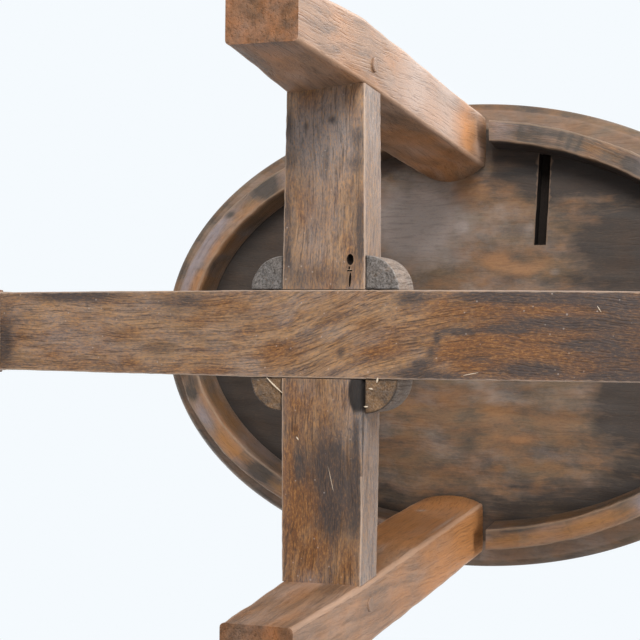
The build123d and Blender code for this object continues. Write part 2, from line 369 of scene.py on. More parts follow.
    # The relief: grit and clouds, with the dark fibres sunk in it
    sunk = add(tree, "ShaderNodeMapRange", {"Value": pattern["fibres"], "From Min": 0.50, "From Max": 0.68})
    raised = add(tree, "ShaderNodeMath", {0: pattern["grit"], 1: pattern["clouds"]}, operation="ADD")
    height = add(tree, "ShaderNodeMath", {0: raised, 1: sunk}, operation="SUBTRACT")
    relief = add(tree, "ShaderNodeBump", {"Height": height, "Strength": bump, "Distance": 0.0005})
    matt = add(tree, "ShaderNodeMapRange",
               {"Value": pattern["clouds"], "From Min": 0.3, "From Max": 0.7,
                "To Min": roughness - 0.08, "To Max": roughness + 0.12})
    tree.links.new(colour, shader.inputs["Base Color"])
    tree.links.new(matt.outputs[0], shader.inputs["Roughness"])
    tree.links.new(relief.outputs[0], shader.inputs["Normal"])
    shader.inputs["IOR"].default_value = 1.40
    return material


def fine_grained(name, first, second, grains_per_metre, roughness, specular):
    """A matt surface of two colours in fine noise."""
    material, tree, shader = new_material(name)
    where = add(tree, "ShaderNodeTexCoord").outputs["Object"]
    grit = add(tree, "ShaderNodeTexNoise", {"Vector": where, "Scale": grains_per_metre, "Detail": 3.0})
    mixed = add(tree, "ShaderNodeMix", {FACTOR: grit, FIRST: linear(first), SECOND: linear(second)},
                data_type="RGBA")
    tree.links.new(mixed.outputs[RESULT], shader.inputs["Base Color"])
    shader.inputs["Roughness"].default_value = roughness
    shader.inputs["Specular IOR Level"].default_value = specular
    return material


# Sheesham-like hardwood, planed by hand, oiled and long worn: olive brown, silky, with a grey bloom and dust
bar_wood = old_wood("worn_oiled_hardwood_bars",
                    ("#9A7A5B", "#665144", "#6F441D", "#8A817D", "#B39C88", "#3A3433", "#AE7E49"),
                    bands=(0.060, 0.004), streak_width=0.0009, streak_share=0.55, patch_size=0.012,
                    bloom_share=0.42, speckle=0.27, dust=0.40, roughness=0.52, bump=0.5)
# The same wood on the legs, where hands have kept it oiled: more orange, smoother
leg_wood = old_wood("worn_oiled_hardwood_legs",
                    ("#87674E", "#5F4837", "#BC7B40", "#AB978B", "#B09078", "#453830", "#A57B50"),
                    streak_width=0.0012, streak_share=0.38, warm_share=0.70, bloom_share=0.22, speckle=0.10,
                    roughness=0.48)
# The seat's wide plank: darker, dry below, its grain soft and cloudy
seat_wood = old_wood("dry_oiled_plank",
                     ("#64523F", "#473C34", "#96683F", "#968A83", "#80695A", "#302A26", "#84664A"),
                     bands=(0.050, 0.012), streak_width=0.0020, streak_share=0.22, patch_size=0.012,
                     warm_share=0.62, bloom_share=0.28, speckle=0.10, roughness=0.60, bump=0.2)
# The apron, cut with a gouge and chisel and left from the tool: patchy brown with a grey-blue bloom
apron_wood = old_wood("chiselled_hardwood",
                      ("#7D644B", "#5C4B3B", "#A06D3B", "#8A7F80", "#87705A", "#3D3833", "#95754F"),
                      bands=(0.060, 0.006), streak_width=0.0013, streak_share=0.25, patch_size=0.014,
                      warm_share=0.8, speckle=0.10, roughness=0.58, bump=0.4)
# End grain of the corner blocks: dry, open and grey, as saw and rasp leave it
block_wood = old_wood("dry_end_grain",
                      ("#6F6B68", "#54504C", "#8A6844", "#927E6E", "#A39B94", "#33302E", "#95908A"),
                      bands=(0.010, 0.004), streak_share=0.50, patch_size=0.006, bloom_share=0.15, dust=0.4,
                      roughness=0.78, bump=0.9)
# Pegs and wedges, riven and oiled, dark at the joint
peg_wood = old_wood("riven_pegs",
                    ("#6B4A36", "#4B372C", "#85593A", "#857468", "#8E725C", "#3C302A", "#8A6A4A"),
                    bloom_share=0.35, speckle=0.10, own_grain=False)
# A splinter of bare wood, pale and dry, its fibres dusty every 2 mm or so
bare_wood = fine_grained("bare_dry_splinter", "#E0D0B8", "#A8937A", grains_per_metre=500, roughness=0.7,
                         specular=0.5)
# Walls of holes and slots, near black and matt in grains of a millimetre: painted shade for the dark
# inside them
hole_shade_wood = fine_grained("painted_shade_in_holes", "#120F0D", "#2A211B", grains_per_metre=900, roughness=0.9,
                          specular=0.2)


def seat_height(x, y):
    """Height of the saddle: its middle, plus a rise with the square of x, less a fall with that of y."""
    return board_middle + saddle_rise * (x / half_length) ** 2 - saddle_crown * (y / half_width) ** 2


def inner_face(reach, height):
    """Distance from the crossing to a leg's inner face at a height."""
    return reach + (board_underside - height) * splay_slope


def blots(along, across, places):
    """Soft ovals added up: each is its strength in the middle and fades as a bell over its half sizes."""
    total = np.zeros(np.broadcast(along, across).shape)
    for middle_along, middle_across, half_along, half_across, strength in places:
        beside = (along * 1000 - middle_along) / half_along
        over = (across * 1000 - middle_across) / half_across
        total = total + strength * np.exp(-beside**2 - over**2)
    return total


# Marks that years of use have left, as soft ovals in millimetres: the middle's place along and across, the
# half sizes, and the strength. On the stretchers they are measured from the crossing. On the long
# stretcher, the stains and oil that span its whole width towards its right end darken it, and the dust at
# -150 greys its left end: partly oil and dust, partly painted shade and painted sheen. On the short
# stretcher, the dust at -106 lightens the end beside the front leg: painted light against that leg's shadow.
long_stains_and_shade = [
    (-150, -20.5, 40, 4.5, 1.0), (-80, -17.5, 18, 5, 0.8), (-197, 6, 9, 15, 1.3), (-127, 1, 10, 7, 0.4),
    (-98, 9, 12, 4, 0.5), (-127, 20.5, 15, 2, 0.6), (10, 10, 2.2, 3.6, 0.75), (12, 8, 1.4, 1.4, 0.4),
    (-35, -10, 24, 6, 0.4), (50, -19, 10, 4, 0.9), (52, 20, 12, 4, 0.8), (103, -20, 30, 3, 1.5),
    (63, 2, 2.0, 4, 0.9), (60, 9, 3, 4, 0.8), (54, 15, 5, 3, 0.8), (75, -2, 9, 1.6, 1.1),
    (98, -3, 12, 2, 1.0), (128, -7, 24, 3, 1.0), (112, 17, 16, 3.5, 0.9), (140, 4, 11, 2, 1.0),
    (62, 22, 20, 2.5, 1.0), (165, 21, 22, 2.5, 1.0), (155, -17, 14, 3, 0.7), (85, 12, 8, 2, 0.5),
    (92, 0, 26, 60, 0.3), (158, 0, 40, 60, 0.72), (-87, 0, 26, 14, 0.25),
]
long_oil_and_shade = [
    (-150, 7, 26, 9, 0.3), (-70, 20.5, 28, 3, 0.9), (-52, -16, 9, 3, 0.8), (-30, 12, 18, 6, 0.6),
    (25, -6, 26, 6, 0.5), (20, 8, 22, 5, 0.5), (80, 8, 19, 8, 0.8), (108, -14, 24, 4, 1.0),
    (125, -0.5, 24, 4, 0.8), (140, 16.5, 14, 5, 1.1), (140, 0, 66, 40, 2.0), (70, -8, 14, 5, 0.5),
    (160, 0, 30, 60, 1.3),
]
long_dust_and_sheen = [(-150, 4, 35, 8, 0.5), (-120, -8, 20, 6, 0.4), (-20, -14, 12, 5, 0.3), (-60, 0, 20, 8, 0.3)]
short_stains = [
    (-112, 20.5, 10, 3, 0.7), (-92, 20, 8, 4, 0.5), (-68, 21, 9, 3, 0.8), (-45, 21, 14, 3, 0.7),
    (-104, -18, 8, 5, 0.8), (-90, -18, 6, 6, 0.7), (-66, -20.5, 12, 3.5, 0.9), (-45, -20.5, 12, 3.5, 0.9),
    (-114, -4, 3, 3, 1.0), (-111, 10.5, 3, 2, 0.9), (-90, -1, 12, 1.8, 0.6), (-30, 2, 9, 22, 0.6),
    (-58, 5, 6, 6, 0.4), (69, -4, 18, 12, 1.25), (95, -6, 14, 8, 1.2), (88, -20, 22, 5, 1.2),
    (70, 13, 12, 4, 0.7), (45, -20.5, 20, 3, 0.9),
]
short_oil = [
    (-108, 11, 15, 8, 0.2), (-94, 5, 12, 8, 0.1), (-74, 14, 5, 3, 0.7), (-64, 13, 6, 3, 0.7),
    (-81, -10, 15, 4, 0.3), (-46, 15, 16, 5, 0.6), (86, 19.5, 30, 6, 1.5), (80, 9, 9, 4, 1.2),
    (88, 0, 5, 4, 1.2), (52, 15, 4, 2, 1.3), (38, -2, 14, 14, 0.8), (96, 6, 36, 22, 1.2),
    (-70, 4, 26, 8, 0.35), (-40, 6, 10, 8, 0.4),
]
short_dust_and_light = [(-106, 2, 18, 24, 1.5), (-70, 2, 26, 14, 0.6), (-25, 0, 6, 20, 0.3)]


def make_bar(far_leg, near_leg, lap_above, seed, stain_and_shade_marks, oil_and_shading_marks, dust):
    """A stretcher: a rounded rectangle carried along the line between two legs. Its size follows the place
    along it: full between the shoulders, half as high over the lap, and a tenon past each shoulder. On the
    one that lies lower in the lap, an arris is worn away in a bell along its length."""
    (dx, dy), reach, *_ = legs[far_leg]
    far = inner_face(reach, lap_height)
    near = inner_face(legs[near_leg][1], lap_height)
    notch = bar_half_width + joint_gap
    past = bar_tenon_length
    runs = [
        (-near - past, -near, "tenon"),
        (-near, -notch, "bar"),
        (-notch, notch, "lap"),
        (notch, far, "bar"),
        (far, far + past, "tenon"),
    ]
    spots = [stations(start, end, 0.005 if kind == "tenon" else 0.0011) for start, end, kind in runs]
    kinds = np.repeat([kind for *_, kind in runs], [len(spot) for spot in spots])
    along = np.concatenate(spots)
    tenon = kinds == "tenon"
    lap = kinds == "lap"
    share = np.where(along > 0, along / far, -along / near)
    tapered = np.clip((share - bar_taper_start) / (1 - bar_taper_start), 0, 1)
    wide = bar_half_width + (bar_end_half_width - bar_half_width) * tapered
    wide = np.where(tenon, bar_tenon_half_width, wide)
    low = np.where(tenon, lap_height - bar_tenon_half_height, bar_low)
    high = np.where(tenon, lap_height + bar_tenon_half_height, bar_high)
    low = np.where(lap & (not lap_above), lap_height, low)
    high = np.where(lap & lap_above, lap_height, high)
    core, facing = section(2 * bar_half_width, bar_high - bar_low, 0.0012)

    corner = np.clip((1 - core[:, 0]) / 2, 0, 1) * np.clip((1 - core[:, 1]) / 2, 0, 1)
    bell = np.exp(-((along - worn_arris_middle) / worn_arris_half) ** 2) * ~(tenon | lap) * (not lap_above)
    worn = bell[:, None] * corner**3
    radius = np.where(tenon, bar_tenon_arris, bar_arris)[:, None] + worn_arris_radius * worn

    half = np.stack([wide, (high - low) / 2], -1)[:, None, :]
    middle = np.stack([np.zeros_like(low), (high + low) / 2], -1)[:, None, :]
    flat = middle + core * (half - radius[..., None]) + facing * radius[..., None]
    across, up = flat[..., 0], flat[..., 1]
    slant = np.clip(share, 0, 1)[:, None] * np.sign(along)[:, None] * splay_slope
    run = along[:, None] + slant * (lap_height - up)
    points = np.stack([cross_x + dx * run - dy * across, dy * run + dx * across, up], -1)
    outward = np.stack([-dy * facing[:, 0], dx * facing[:, 0], facing[:, 1]], -1)[None]
    edge = edge_distance(core, half)
    wave = ripples(points, seed, (0.00008, 0.090), (0.00003, 0.014))
    wear = 0.00006 + ripples(points, seed + 2, (0.00005, 0.030), (0.00007, 0.006))
    wear = (1 - smooth_step(edge, 0, 0.003)) * wear
    push = np.where((tenon | lap)[:, None], 0, wave - np.clip(wear, 0, None))
    points = points + outward * push[..., None]

    # Painted shade in the hollow where the worn arris is widest, and a thin dark crack that runs on from it
    recess = smooth_step(bell[:, None] * corner, 0.855, 0.905) * smooth_step(run, 0.050, 0.038)
    crack = np.exp(-((facing[:, 0] + 0.81) / 0.12) ** 2) * (facing[:, 1] < 0) * (not lap_above)
    crack = crack * smooth_step(run, crack_start, crack_start + crack_fade)
    crack = crack * smooth_step(run, crack_end, crack_end - crack_fade)
    climb = grain_sweep * np.tanh((run - grain_sweep_middle) / grain_sweep_run) * lap_above
    beside = np.abs(facing[:, 0])
    dry_break = np.clip(1.6 * worn, 0, 1)
    layers = {
        "grain": np.stack([run, across + climb, up], -1),
        "edge": edge + 0.004 * (dry_break > 0.2),
        "shade_and_grime": np.maximum(0.95 * recess, 0.85 * crack),
        "stain_and_shade": blots(run, across, stain_and_shade_marks) * (1 - beside),
        "oil_and_shading": blots(run, across, oil_and_shading_marks) * (1 - beside),
        # the sides' pale bloom is partly dust and partly painted light that they catch from the side
        "dust_and_light": blots(run, across, dust) * (1 - beside) + 0.75 * beside + 0.6 * dry_break,
    }
    return points, layers


# Marks on the legs, measured up from the floor and across from the middle
leg_oil = {
    "right": [(230, 5, 60, 18, 0.7)],
    "back": [(290, 0, 90, 40, 2.1)],
    "left": [(240, -5, 60, 18, 0.7)],
    "front": [(270, 0, 80, 16, 0.9), (286, 22, 16, 4, 1.0), (262, 23, 20, 3, 0.7), (216, 23, 20, 3, 0.4)],
}
leg_dust = {
    "right": [(120, -6, 80, 16, 0.6)],
    "back": [(300, 9, 3, 3, 1.2), (262, -18, 30, 1.2, 0.9), (280, 0, 60, 30, 0.2), (120, 4, 60, 16, 0.5)],
    "left": [(110, 6, 80, 16, 0.6)],
    "front": [(180, 23, 40, 3, 1.0), (245, 23, 30, 3, 0.9), (316, 23, 10, 3, 0.5), (255, 0, 40, 16, 0.4),
              (120, 0, 60, 16, 0.5)],
}


def make_leg(name):
    """A leg: a rounded rectangle carried up from the floor. Its inner face leans with the splay and swells
    in the middle at the knee, its foot tapers, and over the board's underside it is the tenon, up to the
    saddle."""
    (dx, dy), reach, knee_depth, out_of_square = legs[name]
    seed = 10 + len(name)
    step = 0.0016
    highest = board_middle + saddle_rise
    shaft = stations(0, board_underside, step)
    tenon = stations(board_underside, highest, step)
    height = np.concatenate([shaft, tenon])
    is_tenon = np.repeat([False, True], [len(shaft), len(tenon)])
    inner = inner_face(reach, height)
    taper = np.clip(height / bar_low, 0, 1)
    thick = foot_thickness + (leg_thickness - foot_thickness) * taper
    wide = foot_half_width + (leg_half_width - foot_half_width) * taper
    over_knee = np.clip((height - board_underside + knee_height) / knee_height, 0, 1)
    knee = knee_depth * over_knee**2 * ~is_tenon
    turned = out_of_square * taper * ~is_tenon
    setback = (leg_thickness - tenon_thickness) / 2
    start = np.where(is_tenon, inner + setback, inner)
    end = np.where(is_tenon, inner + setback + tenon_thickness, inner + thick)
    wide = np.where(is_tenon, tenon_half_width, wide)
    core, facing = section(leg_thickness, 2 * leg_half_width, 0.0013)
    radius = np.where(is_tenon, tenon_arris, leg_arris)[:, None, None]
    half = np.stack([(end - start) / 2, wide], -1)[:, None, :]
    middle = np.stack([(end + start) / 2, np.zeros_like(start)], -1)[:, None, :]
    flat = middle + core * (half - radius) + facing * radius
    out, side = flat[..., 0], flat[..., 1]
    inward = (1 - core[:, 0]) / 2
    swell = knee[:, None] * (1 - core[:, 1] ** 2) + turned[:, None] * (1 - core[:, 1]) / 2
    out = out - inward * swell
    up = np.broadcast_to(height[:, None], out.shape)
    x = cross_x + dx * out - dy * side
    y = dy * out + dx * side
    top = seat_height(x, y) + tenon_stands_proud
    stretch = (top - board_underside) / (highest - board_underside)
    up = np.where(is_tenon[:, None], board_underside + (up - board_underside) * stretch, up)
    points = np.stack([x, y, up], -1)
    outward = np.stack([dx * facing[:, 0] - dy * facing[:, 1], dy * facing[:, 0] + dx * facing[:, 1],
                        np.zeros(len(core))], -1)[None]
    edge = edge_distance(core, half)
    wave = ripples(points, seed, (0.00016, 0.080), (0.00006, 0.016))
    wear = (1 - smooth_step(edge, 0, 0.004)) * (0.0002 + ripples(points, seed + 2, (0.0002, 0.030)))
    free = smooth_step(height, 0, 0.004) * (1 - is_tenon)
    points = points + outward * ((wave - np.clip(wear, 0, None)) * free[:, None])[..., None]
    layers = {
        "grain": np.stack([0.6 * up, side, out], -1) + seed,
        "edge": edge,
        # painted shade on the inner face, darkening over the last 20 mm up to the board
        "shade_and_grime": 0.35 * smooth_step(up, board_underside - 0.020, board_underside) * (inward > 0.5),
        "oil_and_shading": blots(up, side, leg_oil[name]),
        "dust_and_light": blots(up, side, leg_dust[name]),
    }
    return points, layers


# Marks on the apron, measured along each piece from the leg at the seat's end and in from its outer wall
apron_stains = {
    "front_left": [(80, 4, 5, 3, 1.0), (115, 6, 11, 9, 1.0), (60, 13, 30, 2, 0.3)],
    "front_right": [(160, 7, 0.9, 8, 0.35), (166, 7, 1.2, 9, 0.35), (172, 7, 0.8, 6, 0.3),
                    (126, 8, 6, 5, 0.6), (196, 7, 1, 8, 0.3), (150, 7, 80, 20, 0.6), (190, 7, 16, 9, 0.45)],
    "back_left": [(22, 5, 8, 5, 1.0), (110, 9, 10, 6, 1.1), (106, 4, 14, 5, 0.5), (8, 9, 8, 5, 0.6)],
    "back_right": [(195, 12, 18, 2, 0.8), (150, 13, 25, 2, 0.5)],
}
# How dark the painted shade is on the inner walls of the hollow
apron_inner_shade = {"front_left": 0.74, "front_right": 0.90, "back_left": 0.52, "back_right": 0.60}
apron_oil = {
    "front_left": [(45, 12, 20, 3.5, 1.3), (12, 12, 12, 4, 1.1), (95, 12, 14, 3, 0.8)],
    "front_right": [(151, 9, 7, 5, 1.2), (138, 7, 14, 8, 0.2), (60, 7, 30, 8, 0.7)],
    "back_left": [(80, 7, 19, 7, 1.6), (30, 12, 16, 3, 1.0), (60, 12, 14, 3, 1.0)],
    "back_right": [(165, 6, 55, 9, 1.5), (60, 8, 30, 8, 0.8)],
}
apron_dust = {
    "front_left": [(58, 4, 22, 5, 1.0), (15, 3, 18, 5, 1.0), (30, 4, 60, 4, 0.4)],
    "front_right": [(208, 7, 8, 12, 0.7), (185, 6, 18, 8, 0.4), (120, 6, 8, 8, 0.9), (90, 6, 25, 8, 0.3)],
    "back_left": [(46, 5, 14, 6, 1.0), (100, 3, 20, 3, 0.4), (88, 17, 34, 4, 0.6)],
    "back_right": [(114, 6, 7, 7, 1.4), (85, 6, 20, 8, 0.5)],
}


def oval_corner(side_x, side_y, inset, height, share):
    """Points of an apron piece on a line at an inset from the outer wall and a height: an ellipse between
    the two squared ends, from share 0 beside the leg on the X axis to share 1 beside the other leg."""
    half_x = half_length - apron_end_inset - inset
    half_y = half_width - apron_side_inset - inset
    clear = leg_half_width + apron_leg_space
    start = np.arcsin((clear - (apron_left_reach if side_x < 0 else 0)) / half_y)
    end = np.arccos((side_x * cross_x + clear) / half_x)
    angle = start + (end - start) * share
    return np.stack([side_x * half_x * np.cos(angle), side_y * half_y * np.sin(angle),
                     np.broadcast_to(height, angle.shape)], -1)


def facets(run, seed):
    """Hollows left by a wide chisel: a chain of shallow scallops along the run, about one facet long each,
    from 0 at their borders to 1 in their middles."""
    rng = np.random.default_rng(seed)
    count = int(run.max() / facet_length) + 4
    borders = np.concatenate([[-facet_length / 2], rng.uniform(0.5, 1.5, count) * facet_length]).cumsum()
    number = np.clip(np.searchsorted(borders, run) - 1, 0, count - 1)
    low, high = borders[number], borders[number + 1]
    place = (run - low) / (high - low)
    return 4 * place * (1 - place), rng.uniform(0, 1, count)[number]


def make_apron(name, side_x, side_y, seed):
    """A piece of the apron: a closed section of wall, foot and wall carried along the oval between two legs.
    Chisel facets hollow its foot and walls a little."""
    core, facing = section(apron_foot_width, apron_height, 0.0012)
    length = 0.95 * half_length    # about that of a quarter of the oval
    half = np.array([apron_foot_width / 2, apron_height / 2])
    flat = core * (half - apron_arris) + facing * apron_arris
    rise = flat[:, 1] + apron_height / 2
    inset = apron_foot_width / 2 - flat[:, 0]
    inset = inset + np.where(inset > apron_foot_width / 2, apron_lean * rise / apron_height, 0)
    share = stations(0, 1, 0.0014 / length)
    inset = np.broadcast_to(inset, (len(share), len(core)))
    share = np.broadcast_to(share[:, None], inset.shape)
    height = np.broadcast_to(board_underside - apron_height + rise, inset.shape)
    run = share * length
    points = oval_corner(side_x, side_y, inset, height, share)

    rough = ripples(points, seed + 3, (0.0003, 0.030), (0.00012, 0.007))
    free = np.where(rise > apron_height - 0.003, 0, 1)
    below, inner, outer = (np.clip(way, 0, 1) for way in (-facing[:, 1], -facing[:, 0], facing[:, 0]))
    low_cut, low_tone = facets(run, seed)
    inner_cut, inner_tone = facets(run + 0.4 * facet_length, seed + 1)
    outer_cut, outer_tone = facets(run + 0.7 * facet_length, seed + 2)
    dig_low = below * (facet_depth_below * low_cut - rough)
    dig_inner = inner * (facet_depth_beside * inner_cut - 0.5 * rough)
    dig_outer = outer * (facet_depth_beside * outer_cut - 0.5 * rough)
    tone = below * low_tone + inner * inner_tone + outer * outer_tone
    # painted shade on the inner wall, full from a third of its height up to the board
    shade_and_soot = inner * smooth_step(rise, 0.02 * apron_height, 0.30 * apron_height)
    inset = inset + free * (dig_outer - dig_inner)
    height = height + free * dig_low
    points = oval_corner(side_x, side_y, inset, height, share)
    if side_x * side_y < 0:
        points, run, inset, height, tone = (grid[::-1] for grid in (points, run, inset, height, tone))
    layers = {
        "grain": np.stack([run, inset, height], -1) + seed,
        "edge": edge_distance(core, half),
        "shade_and_grime": apron_inner_shade[name] * shade_and_soot,
        "stain_and_shade": blots(run, inset, apron_stains[name]) + 0.25 * (tone < 0.3),
        "oil_and_shading": blots(run, inset, apron_oil[name]) + 0.3 * (tone > 0.62),
        "dust_and_light": blots(run, inset, apron_dust[name]) + 0.15 * (tone < 0.5),
    }
    return points, layers


def make_block(side_x, side_y, seed):
    """A quarter-round block: its outline is two straight sides and an arc, carried up from a rough lower
    face to a flat upper one. Both faces close on the middle of the outline."""
    corner_x = cross_x + side_x * (bar_half_width + joint_gap)
    corner_y = side_y * (bar_half_width + joint_gap)
    arc = stations(0, np.pi / 2, 0.03)
    straight = stations(0, 1, 0.07)[1:-1]
    outline = np.concatenate([
        np.stack([np.cos(arc), np.sin(arc)], -1),
        np.stack([0 * straight, 1 - straight], -1),
        [[0, 0]],
        np.stack([straight, 0 * straight], -1),
    ])
    heart = np.array([0.42, 0.42])
    face = stations(0.03, 1, 0.06)
    wall = stations(0, 1, 1 / 13)
    shrink = np.concatenate([face, np.ones(len(wall)), face[::-1]])
    rise = np.concatenate([0 * face, wall, np.ones(len(face))])[:, None]
    plan = heart + (outline - heart) * shrink[:, None, None]
    at_rim = shrink[:, None] * np.ones(len(outline))
    x = corner_x + side_x * block_radius * plan[..., 0]
    y = corner_y + side_y * block_radius * plan[..., 1]
    z = np.broadcast_to(bar_low + (bar_high - bar_low) * rise, x.shape)
    points = np.stack([x, y, z], -1)
    if side_x * side_y < 0:
        points, at_rim, plan = points[:, ::-1], at_rim[:, ::-1], plan[:, ::-1]
    low_face = np.where(rise < 0.02, 1.0, 0.0)
    rough = 0.0005 + ripples(points, seed, (0.00035, 0.009), (0.0002, 0.003))
    rim_drop = 0.0006 * smooth_step(at_rim, 0.93, 1.0)
    lift = low_face * (np.clip(rough, 0, None) + rim_drop)
    points[..., 2] += lift

    back = side_y > 0
    from_arc = (1 - np.hypot(plan[..., 0], plan[..., 1])) * block_radius
    from_bars = np.minimum(plan[..., 0], plan[..., 1]) * block_radius
    from_faces = np.minimum(rise, 1 - rise) * (bar_high - bar_low)
    dark_joint = 0.7 * smooth_step(from_bars, 0.0012, 0.0)
    dark_rim = 0.75 * back * smooth_step(from_arc, 0.0011, 0.0002)
    layers = {
        "grain": points[..., [2, 0, 1]],
        "edge": np.where(low_face > 0, np.abs(from_arc), from_faces),
        "shade_and_grime": low_face * np.maximum(dark_joint, dark_rim),
        "stain_and_shade": low_face * (0.4 if back else 0.1),
        "oil_and_shading": low_face * (1.2 if back else -0.6),
        "dust_and_light": (1 - low_face) * 0.8,
    }
    return points, layers


# Marks under the seat, measured from its middle along X and Y. The stain at (-175, 0) darkens the
# board's left part and the one at (85, -106) lays a band along the front apron's foot: painted shade and
# painted shadow. The one at (150, 0) darkens the right end. The dust at (-32, -76) lightens the board
# behind the front leg: painted light against that leg's shadow.
seat_stains_and_shade = [
    (-175, 0, 50, 110, 2.2), (-120, 70, 50, 50, 1.2), (-115, -85, 36, 30, 0.9), (85, -106, 62, 12, 1.9),
    (95, 108, 60, 14, 0.9), (-10, 118, 60, 14, 0.8), (95, -62, 30, 22, 0.95), (5, 78, 14, 22, 0.5),
    (-32, 74, 18, 2, 0.6), (98, 45, 14, 20, 0.4), (-35, -92, 14, 5, 0.4), (150, 0, 52, 130, 1.35),
    (85, -33, 26, 8, 0.5), (130, -20, 18, 12, 0.5), (50, -93, 14, 8, 0.4), (120, 40, 30, 40, 0.45),
]
seat_oil = [
    (24, -49, 9, 4.5, 2.4), (38, -44, 12, 4, 2.0), (55, -48, 10, 5, 0.5), (108, -54, 5, 16, 0.9),
    (99, -45, 9, 5, 0.9), (99, -91, 3, 3, 1.0), (5, -98, 28, 9, 0.7), (28, -84, 14, 6, 0.4),
    (-35, 52, 34, 10, 0.9), (22, 54, 16, 10, 1.0), (36, 70, 12, 3, 1.6), (25, 90, 5, 4, 1.4),
    (-54, 76, 9, 6, 0.6), (-18, 98, 12, 7, 0.7), (70, 60, 20, 12, 0.3), (150, -40, 10, 22, 0.5),
    (60, 88, 20, 5, 0.4), (-10, -36, 20, 6, 0.3), (-140, -60, 10, 12, 0.8), (-125, 60, 16, 8, 0.6),
]
seat_dust_and_light = [
    (-2, -73, 4, 3, 1.1), (-32, -76, 30, 22, 1.9), (-45, -75, 14, 20, 0.3), (45, -72, 3, 4, 0.6),
    (62, -42, 4, 2.5, 0.7), (100, 58, 5, 12, 0.4), (40, 20, 60, 14, 0.25),
]


def make_seat():
    """The seat board: rings from the middle of the underside out to its edge, round it, and back over the
    saddle to the middle, each ring an ellipse. A ring is its share of the board's half sizes, and its level
    from 0 on the underside to 1 on the saddle."""
    turn = np.linspace(0, 2 * np.pi, 360, endpoint=False)
    inner = stations(0.02, 0.955, 0.012)
    bend = stations(0, np.pi / 2, 0.2)
    side = stations(0.3, 0.7, 0.1)
    under = board_under_round
    top = board_top_round
    rings = [
        (inner, 0 * inner),
        (1 - under / half_width * (1 - np.sin(bend)), under / board_thickness * (1 - np.cos(bend))),
        (1 + 0 * side, side),
        (1 - top / half_width * (1 - np.cos(bend)), 1 - top / board_thickness * (1 - np.sin(bend))),
        (inner[::-1], 1 + 0 * inner),
    ]
    share, level = (np.concatenate(parts)[:, None] for parts in zip(*rings))
    x = share * half_length * np.cos(turn)
    y = share * half_width * np.sin(turn)
    z = board_underside + level * (seat_height(x, y) - board_underside)
    points = np.stack([x, y, z], -1)
    below = np.where(level < 0.01, 1.0, 0.0)
    above = np.where(level > 0.99, 1.0, 0.0)
    wave = 0.0004 * ripple(points, 0.060, 51) + 0.0003 * ripple(points * np.array([0.3, 1, 1]), 0.012, 52)
    inside = 1 - smooth_step(share, 0.80, 0.86)
    planed_below = below * inside * np.clip(0.0006 + wave, 0, None)
    planed_above = above * np.clip(0.0004 + wave * 0.5, 0, None)
    lift = planed_below - planed_above
    points[..., 2] += lift

    # Painted shade along the apron's foot, where the apron's shadow falls on the board, widest at the front
    # right, and a painted shadow in the corner between leg, apron and groove
    wall_x = half_length - apron_end_inset - apron_foot_width - apron_lean
    wall_y = half_width - apron_side_inset - apron_foot_width - apron_lean
    from_wall = (1 - np.hypot(x / wall_x, y / wall_y)) * wall_y
    rim = (below > 0) & (from_wall < -apron_foot_width)
    front = smooth_step(-y, 0, half_width)
    front_right = front * smooth_step(x, 0.0, 0.03)
    shade_width = 0.006 + 0.012 * front + 0.012 * front_right
    shade_and_soot = smooth_step(from_wall, shade_width, 0.0) * (from_wall > -apron_foot_width)
    shade_and_soot = shade_and_soot * (0.55 + 0.22 * front + 0.04 * front_right)
    corner_shade = smooth_step(x, 0.016, 0.021) * smooth_step(x, 0.054, 0.050) * smooth_step(-y, 0.104, 0.108)
    corner_shade = corner_shade * 0.76 * (1 - rim)
    place = points[..., 0], points[..., 1]
    # The rim outside the apron carries no stains and some oil and bloom, which lighten it: partly painted
    # light against the apron's shade
    layers = {
        "grain": points * np.where(level[..., None] > 0.93, [0.35, 1.6, 1.0], 1.0),
        "edge": np.where((below + above) > 0, (1 - share) * half_width, 0.004) + 0.004,
        "shade_and_grime": below * np.maximum(shade_and_soot, corner_shade),
        "stain_and_shade": below * (1 - rim) * blots(*place, seat_stains_and_shade) - 0.5 * above,
        "oil_and_shading": below * blots(*place, seat_oil) + rim * 0.5 + above * 0.7,
        "dust_and_light": below * blots(*place, seat_dust_and_light) + rim * 0.4,
    }
    return points, layers


# Pale splinters caught in the joints and on the stretchers' undersides, in millimetres: the ends' places
# along X and Y, the height over the stretchers' undersides, and the radius
splinters = [
    (-40.8, 23.7, -31.7, 31.7, -0.7, 0.45),
    (22.0, 22.6, 21.4, 25.3, 0.1, 0.55),
    (17.0, 28.4, 19.2, 28.7, 0.2, 0.50),
    (14.4, 38.0, 16.6, 38.0, 0.2, 0.45),
    (-23.6, 55.0, -22.4, 56.7, 0.0, 0.35),
    (-5.4, 70.1, -1.7, 85.4, 0.02, 0.16),
    (68.2, 20.6, 76.1, 19.0, 0.0, 0.22),
    (136.9, -15.4, 138.9, -12.2, 0.0, 0.24),
]


def thin_rod(name, start, end, radius):
    """A splinter: a circle carried from start to end, thinner towards both. The thick ones are bowed."""
    share = stations(0, 1, 0.1)[:, None, None]
    turn = np.linspace(0, 2 * np.pi, 8, endpoint=False)[None, :, None]
    length = np.linalg.norm(end - start)
    along = (end - start) / length
    beside = np.cross(along, [0, 0, 1])
    beside /= np.linalg.norm(beside)
    above = np.cross(beside, along)
    bow = 0.05 * length * (radius > 0.0004)
    middle = start + (end - start) * share - above * bow * np.sin(np.pi * share)
    thick = radius * (0.4 + 0.6 * np.sin(np.pi * np.clip(share, 0.05, 0.95)))
    mesh = closed_mesh(name, middle + thick * (beside * np.cos(turn) + above * np.sin(turn)))
    mesh.materials.append(bare_wood)
    piece = put(name, mesh)
    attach(piece, "root")


